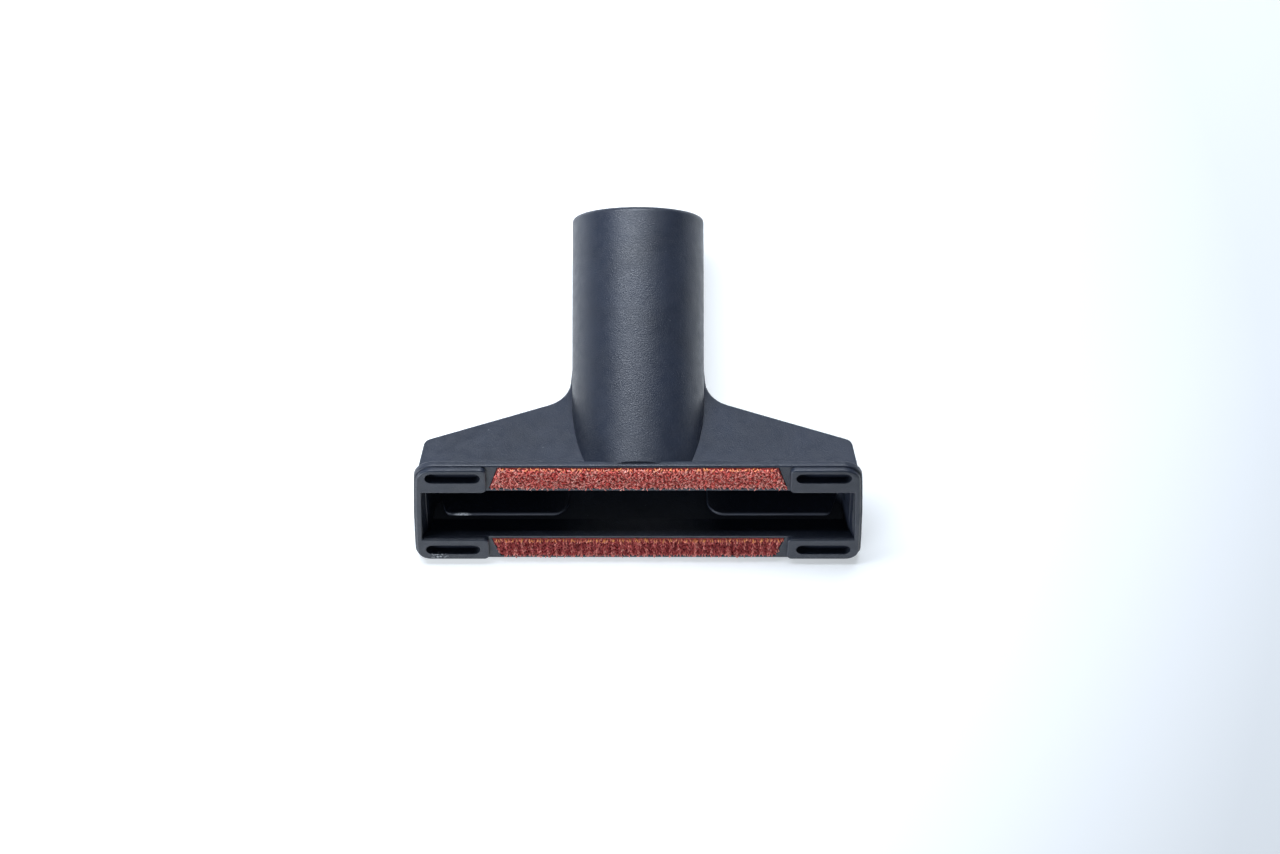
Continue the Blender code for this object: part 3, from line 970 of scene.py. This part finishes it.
    @staticmethod
    def rods(start: np.ndarray, middle: np.ndarray, tip: np.ndarray,
             first: np.ndarray, second: np.ndarray, radius: np.ndarray) -> np.ndarray:
        """Corners of all fibres: rings of three at the root, at the bend and, thinner, at the end.

        Args:
            start: Roots of the fibres.
            middle: Bends of the fibres.
            tip: Ends of the fibres.
            first: Directions from root to bend.
            second: Directions from bend to end.
            radius: Radii at the roots.

        Returns:
            The corners, (number of fibres, 9, 3).
        """
        rings = []
        stations = ((start, first, 1.0), (middle, first + second, 1.0), (tip, second, TIP_SHARE))
        for centre, direction, share in stations:
            along = direction / np.linalg.norm(direction, axis=1, keepdims=True)
            one = np.cross(along, ASIDE)
            one /= np.linalg.norm(one, axis=1, keepdims=True)
            other = np.cross(along, one)
            for angle in 2 * np.pi * np.arange(3) / 3:
                offset = math.cos(angle) * one + math.sin(angle) * other
                rings.append(centre + share * radius[:, None] * offset)
        return np.stack(rings, axis=1)

    def build(self) -> list[bpy.types.Object]:
        """Makes the ground cloth and the pile and hangs them on the body.

        Returns:
            The two pieces.
        """
        pieces = [self.ground(), self.pile()]
        for piece in pieces:
            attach(piece, BODY)
            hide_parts(self.node)
        return pieces


@dataclass(frozen=True)
class SoftLamp:
    """A rectangular lamp: its name, its place and its size in metres, and its power in watts."""

    name: str
    at: Place
    size: Span
    power: float

    def hang(self, colour: Rgb) -> bpy.types.Object:
        """Hangs the lamp so that it points at the nozzle.

        Args:
            colour: The colour of its light.

        Returns:
            The lamp.
        """
        data = bpy.data.lights.new(self.name, "AREA")
        data.shape = "RECTANGLE"
        data.size, data.size_y = self.size
        data.energy = self.power
        data.color = colour
        item = bpy.data.objects.new(self.name, data)
        item.location = self.at
        item.rotation_euler = (-Vector(self.at)).to_track_quat("-Z", "Y").to_euler()
        bpy.context.scene.collection.objects.link(item)
        return item


@dataclass
class Studio:
    """The white table, the lamps, the pale room and the camera."""

    card: WhiteCard = field(default_factory=WhiteCard)
    floor_size: float = 12.0
    floor_drop: float = 0.05 * MM
    daylight: Rgb = (0.90, 0.97, 1.06)
    lamps: tuple[SoftLamp, ...] = (
        SoftLamp("softbox", (-0.09, 0.37, 0.63), (0.68, 0.20), 9.2),
        SoftLamp("back", (-0.2, 2.1, 0.75), (2.6, 1.0), 2.5),
        SoftLamp("window", (-1.1, -1.0, 0.30), (1.0, 0.35), 16.0),
    )
    room: Rgb = (0.14, 0.155, 0.17)
    white: Rgb = (1.0, 1.0, 1.0)
    camera_at: Place = (0.55 * MM, -169.38 * MM, 1108.6 * MM)
    camera_lean: float = 8.2
    camera_lens: float = 105.8
    camera_sensor: float = 36.0
    camera_range: float = 20.0

    def floor(self) -> bpy.types.Object:
        """Makes the table top.

        Returns:
            The table top.
        """
        half = self.floor_size / 2
        corners = np.array([[-half, -half], [half, -half], [half, half], [-half, half]])
        points = np.column_stack([corners, np.full(4, -self.floor_drop)])
        item = mesh_object("table_top", points, np.array([[0, 1, 2, 3]]))
        item.data.materials.append(self.card.make("white_card"))
        return item

    def light(self) -> None:
        """Hangs the lamps and sets the room, which the camera sees as white."""
        for lamp in self.lamps:
            lamp.hang(self.daylight)
        world = bpy.data.worlds.new("room")
        bpy.context.scene.world = world
        world.use_nodes = True
        nodes, links = world.node_tree.nodes, world.node_tree.links
        plain = nodes["Background"]
        plain.inputs["Color"].default_value = (*self.room, 1.0)
        seen = nodes.new("ShaderNodeBackground")
        seen.inputs["Color"].default_value = (*self.white, 1.0)
        rays = nodes.new("ShaderNodeLightPath")
        mix = nodes.new("ShaderNodeMixShader")
        links.new(rays.outputs["Is Camera Ray"], mix.inputs["Fac"])
        links.new(plain.outputs["Background"], mix.inputs[1])
        links.new(seen.outputs["Background"], mix.inputs[2])
        links.new(mix.outputs["Shader"], nodes["World Output"].inputs["Surface"])

    def camera(self) -> bpy.types.Object:
        """Sets the camera above the sole's side of the nozzle, leaning a little towards the tube.

        Returns:
            The camera.
        """
        data = bpy.data.cameras.new("camera")
        data.lens = self.camera_lens
        data.sensor_width = self.camera_sensor
        data.clip_end = self.camera_range
        item = bpy.data.objects.new("camera", data)
        item.location = self.camera_at
        item.rotation_euler = (math.radians(self.camera_lean), 0.0, 0.0)
        bpy.context.scene.collection.objects.link(item)
        bpy.context.scene.camera = item
        return item

    def build(self) -> None:
        """Makes the whole studio."""
        self.floor()
        self.light()
        self.camera()
        bpy.context.scene.view_settings.view_transform = "Standard"


def main() -> None:
    """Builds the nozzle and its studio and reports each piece."""
    logging.basicConfig(level=logging.INFO, format="%(message)s")
    axes = SoleAxes.from_record(frame["record"])
    pieces = [Moulding().build()]
    pieces += LintStrip(Lip.FRONT, axes, PileYarn()).build()
    # The back strip is the same cloth as the front one; its darker colours are painted shade of its
    # leaning pile.
    shaded_yarn = PileYarn(deep=(0.24, 0.020, 0.026), plain=(0.68, 0.115, 0.112), bright=(1.0, 0.40, 0.33))
    pieces += LintStrip(Lip.BACK, axes, shaded_yarn, lean=46.0, splay=0.45, droop=0.7, rib_depth=0.22,
                        groove_shade=0.60, tone_middle=0.70, tone_at_hems=0.65, hem_share=0.88,
                        seed=17).build()
    Studio().build()
    for piece in pieces:
        LOG.info("%s: %d faces", piece.name, len(piece.data.polygons))


if __name__ == "__main__":
    main()
